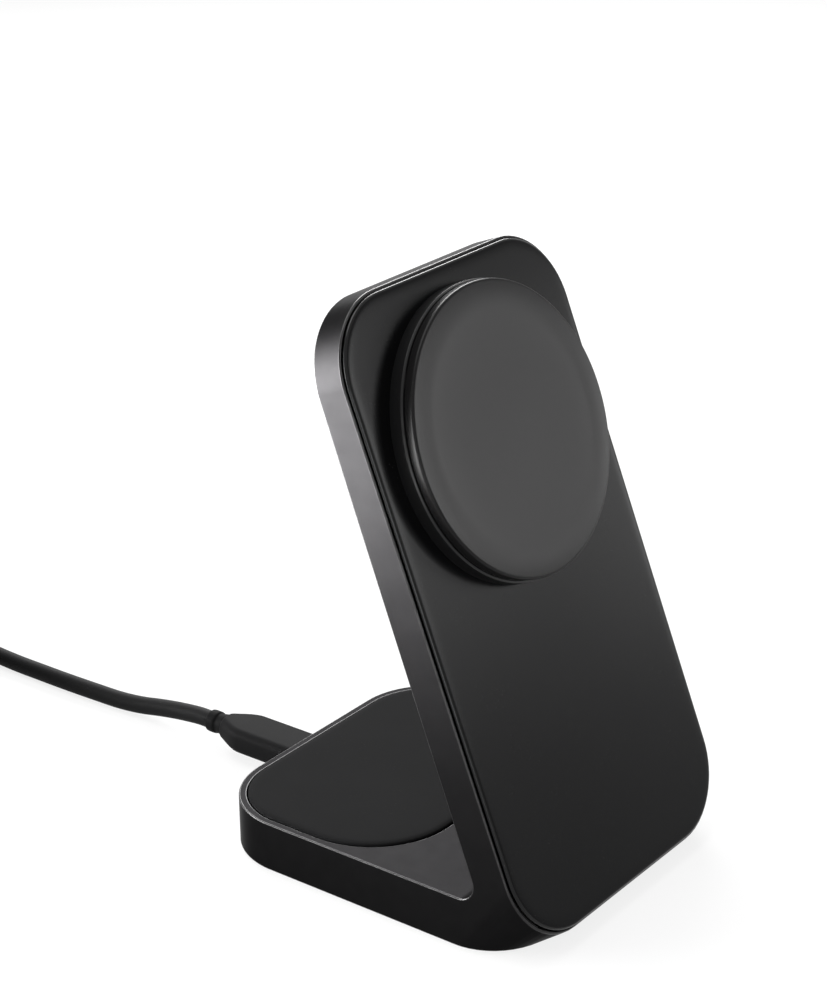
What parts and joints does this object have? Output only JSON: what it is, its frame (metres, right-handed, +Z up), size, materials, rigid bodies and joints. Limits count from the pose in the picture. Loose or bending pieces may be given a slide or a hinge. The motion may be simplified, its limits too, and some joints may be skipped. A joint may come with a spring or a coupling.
{
  "type": "wireless charging stand",
  "caption": "Folded metal stand with a leaning glossy panel, a round dished magnetic charging disc, a charging pad on its base and a plugged-in lead at the rear.",
  "frame": {"origin": "middle of the stand's footprint, on the surface that its rubber foot rests on", "axes": "+Z up; the panel and disc face -Y, leaning back towards +Y; the port and lead are at the +Y end; +X is to the right seen from the front"},
  "size_m": [0.0908, 0.2204, 0.118],
  "materials": {
    "anodised_metal": "dark grey anodised, fine bead-blasted satin",
    "panel": "dark grey, glossy, softened edge",
    "charger_housing": "dark grey, fine moulded texture",
    "charger_face": "dark grey, satin",
    "pad_rubber": "dark grey, soft-touch silicone",
    "foot_rubber": "black, matte",
    "cover_plastic": "black, fine texture",
    "cord_plastic": "grey, matte",
    "plug_plastic": "grey, fine moulded texture",
    "plug_metal": "bright nickel plate",
    "screw_steel": "plain machine screw",
    "steel": "zinc-plated sheet",
    "magnet": "nickel-plated magnet",
    "coil_wire": "enamelled copper wire",
    "ferrite": "dark grey sheet",
    "circuit_board": "green solder mask",
    "black_plastic": "black",
    "gasket": "black foam adhesive",
    "strap": "black woven strap"
  },
  "bodies": {
    "root": {"frame": "anodised_metal", "panel_gasket": "gasket", "front_panel": "panel", "puck_housing": "charger_housing", "puck_screws": "screw_steel", "disc_face": "charger_face", "magnet_ring": "magnet", "phone_coil": "coil_wire", "phone_ferrite": "ferrite", "puck_board": "circuit_board", "lead_ribbon": "black_plastic", "base_pad": "pad_rubber", "coil_tray": "black_plastic", "pad_coil": "coil_wire", "pad_ferrite": "ferrite", "main_board": "circuit_board", "usb_socket": "steel", "socket_tongue": "black_plastic", "ballast_plate": "steel", "inner_screws": "screw_steel", "bottom_cover": "cover_plastic", "cover_screws": "screw_steel", "foot_pad": "foot_rubber", "plug_shell": "plug_metal", "plug_body": "plug_plastic", "plug_relief": "plug_plastic", "cable": "cord_plastic", "cable_coil": "cord_plastic", "cable_tie": "strap", "cable_tail": "cord_plastic", "far_plug_shell": "plug_metal", "far_plug_body": "plug_plastic", "far_plug_relief": "plug_plastic"}
  },
  "joints": []
}
